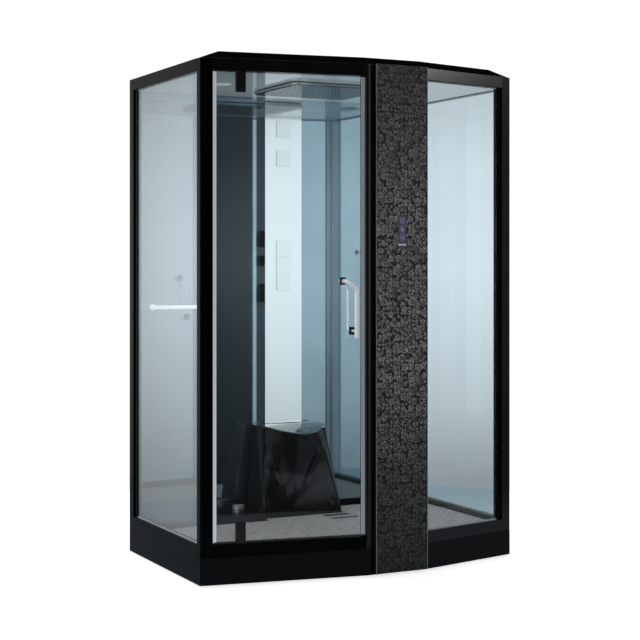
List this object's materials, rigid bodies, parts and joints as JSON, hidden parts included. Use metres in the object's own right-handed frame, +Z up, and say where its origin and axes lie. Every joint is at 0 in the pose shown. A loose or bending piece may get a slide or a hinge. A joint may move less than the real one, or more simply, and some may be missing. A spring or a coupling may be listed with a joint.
{
  "type": "steam shower cabin",
  "caption": "Rectangular steam shower cabin with a bowed front: pivot glass door, pattern panel with touch display, fixed pane, mirror back wall, shower column and corner seat.",
  "frame": {"origin": "on the floor under the middle levelling foot, in the middle of the cabin's width and of its side walls", "axes": "+Z up, the bowed front with the door faces -Y, +X to the right seen from the front"},
  "size_m": [1.5, 1.036, 2.184],
  "materials": {
    "tray_acrylic": "gloss black moulded acrylic",
    "skirt_gloss": "gloss black skirt",
    "galvanised_steel": "galvanised square tube",
    "foot_plastic": "black nylon foot",
    "pipe_plastic": "white pipe",
    "chrome": "polished chrome",
    "board_plastic": "grey anti-slip board",
    "frame_black": "satin black lacquered aluminium",
    "channel_black": "satin black aluminium with a grey bead",
    "screw_steel": "stainless steel",
    "clear_glass": "clear toughened glass with a cool tint",
    "mirror_glass": "dark blue-grey reflective glass",
    "box_black": "black sheet box",
    "pattern_glass": "black glass printed with small grey rosettes",
    "display_lens": "touch display with violet symbols",
    "unit_grey": "grey plastic housing",
    "roof_gloss": "gloss black moulded roof",
    "ceiling_white": "white moulded ceiling",
    "lamp_white": "opal lamp",
    "rain_steel": "stainless steel with spray nozzles",
    "column_white": "stainless steel shower column, polished almost to a mirror",
    "plate_white": "polished spray plate with rubber nozzles",
    "mixer_brass": "cast brass",
    "lever_black": "gloss black lever",
    "seat_gloss": "gloss black moulded seat",
    "boiler_steel": "steel boiler casing",
    "door_glass": "clear toughened glass with a cool tint",
    "hinge_black": "black clamp",
    "seal_strip": "grey translucent seal"
  },
  "bodies": {
    "root": {"shower_tray": "tray_acrylic", "front_skirt": "skirt_gloss", "side_skirts": "skirt_gloss", "long_bearers": "galvanised_steel", "cross_bearers": "galvanised_steel", "levelling_feet": "foot_plastic", "drain_trap": "pipe_plastic", "drain_grate": "chrome", "floor_board": "board_plastic", "plinth": "tray_acrylic", "side_sills": "frame_black", "sill_door": "frame_black", "sill_front_right": "frame_black", "side_headers": "frame_black", "header_door": "frame_black", "header_front_right": "frame_black", "rear_rails": "frame_black", "post_front_left": "frame_black", "post_front_right": "frame_black", "rear_posts": "frame_black", "door_jamb": "frame_black", "glass_post": "frame_black", "glass_channels": "channel_black", "frame_screws": "screw_steel", "glass_left": "clear_glass", "glass_right": "clear_glass", "glass_front_right": "clear_glass", "back_wall_left": "mirror_glass", "back_wall_right": "mirror_glass", "column_box": "box_black", "pattern_panel": "pattern_glass", "control_display": "display_lens", "control_unit": "unit_grey", "roof_cover": "roof_gloss", "ceiling_panel": "ceiling_white", "ceiling_light": "lamp_white", "rain_shower": "rain_steel", "riser_pipe": "pipe_plastic", "fan_housing": "unit_grey", "fan_grille": "ceiling_white", "shower_column": "column_white", "spray_plates": "plate_white", "mixer_body": "mixer_brass", "seat_shell": "seat_gloss", "steam_generator": "boiler_steel", "steam_outlet": "chrome", "hinge_pins": "screw_steel", "towel_bar": "chrome", "temperature_sensor": "chrome"},
    "door": {"door_glass": "door_glass", "hinge_clamps": "hinge_black", "side_seals": "seal_strip", "bottom_seal": "seal_strip", "handle_outer": "chrome", "handle_inner": "chrome", "handle_mounts": "hinge_black"},
    "temperature_lever": {"temperature_lever": "lever_black"},
    "diverter_lever": {"diverter_lever": "lever_black"},
    "flow_lever": {"flow_lever": "lever_black"},
    "fan_rotor": {"fan_rotor": "unit_grey"}
  },
  "joints": [
    {"name": "door_swing", "type": "hinge", "parent": "root", "child": "door", "pos_m": [-0.57741, -0.43592, 1.134], "axis": [0, 0, -1], "range_deg": [0, 90]},
    {"name": "temperature_turn", "type": "hinge", "parent": "root", "child": "temperature_lever", "pos_m": [-0.105, 0.388, 1.402], "axis": [1, 0, 0], "range_deg": [0, 90]},
    {"name": "diverter_turn", "type": "hinge", "parent": "root", "child": "diverter_lever", "pos_m": [-0.105, 0.388, 1.314], "axis": [1, 0, 0], "range_deg": [0, 90]},
    {"name": "flow_turn", "type": "hinge", "parent": "root", "child": "flow_lever", "pos_m": [-0.105, 0.388, 1.142], "axis": [1, 0, 0], "range_deg": [0, 90]},
    {"name": "fan_spin", "type": "hinge", "parent": "root", "child": "fan_rotor", "pos_m": [0.5, 0.14, 2.118], "axis": [0, 0, 1], "continuous": true}
  ]
}
